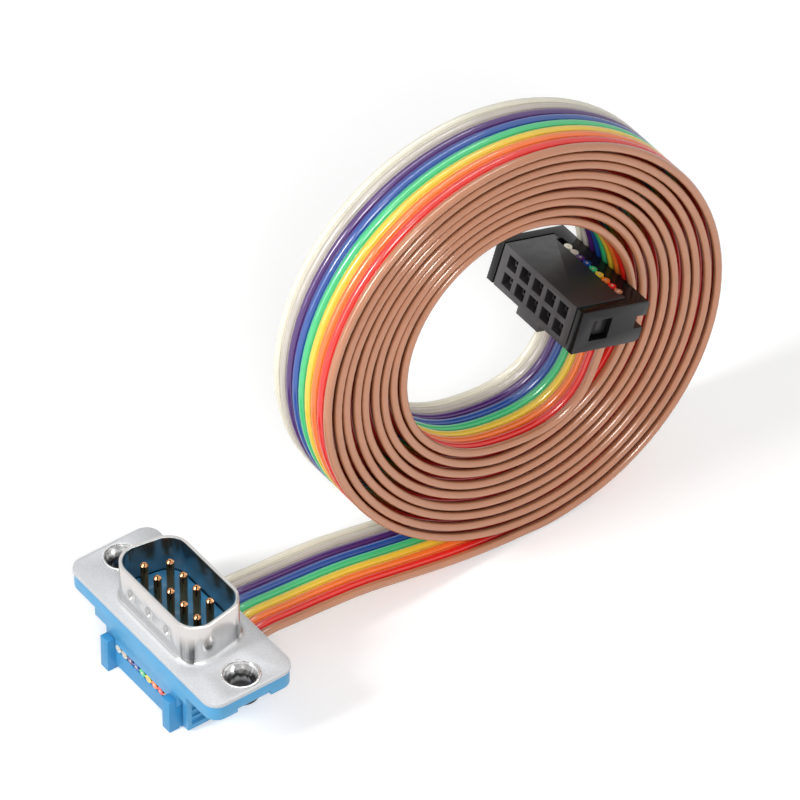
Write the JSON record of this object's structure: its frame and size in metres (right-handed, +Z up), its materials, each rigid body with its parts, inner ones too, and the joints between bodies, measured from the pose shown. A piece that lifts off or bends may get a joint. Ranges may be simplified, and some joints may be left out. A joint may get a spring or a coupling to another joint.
{
  "type": "serial ribbon cable",
  "caption": "Flat multicoloured ribbon cable wound into an upright roll, with a D-shaped pin connector on its outer end and a rectangular socket on its inner end.",
  "frame": {"origin": "on the surface the part stands on, under the centre of the D connector's pin field", "axes": "+Z is up, the way the D connector's pins and screw holes point; +X runs along the cable from the D connector towards the roll; +Y runs across the ribbon, along the D connector's long side, from its first wire to its last"},
  "size_m": [0.0855, 0.0308, 0.0614],
  "materials": {
    "blue_moulding": "satin moulded glass-filled plastic",
    "plated_shell": "nickel plate over pressed steel, fine grain",
    "bright_eyelet": "bright plate",
    "gold_contact": "gold flash, polished",
    "grey_moulding": "matt moulded plastic",
    "black_moulding": "glossy moulded plastic",
    "spring_contact": "plated spring strip",
    "ribbon_insulation": "satin soft PVC"
  },
  "bodies": {
    "root": {"d_housing": "blue_moulding", "d_cover": "blue_moulding", "d_shell": "plated_shell", "d_eyelet_near": "bright_eyelet", "d_eyelet_far": "bright_eyelet", "d_contact_1": "gold_contact", "d_contact_2": "gold_contact", "d_contact_3": "gold_contact", "d_contact_4": "gold_contact", "d_contact_5": "gold_contact", "d_contact_6": "gold_contact", "d_contact_7": "gold_contact", "d_contact_8": "gold_contact", "d_contact_9": "gold_contact", "socket_body": "grey_moulding", "socket_cover": "black_moulding", "socket_contact_1_1": "spring_contact", "socket_contact_1_2": "spring_contact", "socket_contact_1_3": "spring_contact", "socket_contact_1_4": "spring_contact", "socket_contact_1_5": "spring_contact", "socket_contact_2_1": "spring_contact", "socket_contact_2_2": "spring_contact", "socket_contact_2_3": "spring_contact", "socket_contact_2_4": "spring_contact", "socket_contact_2_5": "spring_contact", "ribbon_tail": "ribbon_insulation", "ribbon_coil": "ribbon_insulation", "ribbon_lead": "ribbon_insulation"}
  },
  "joints": []
}
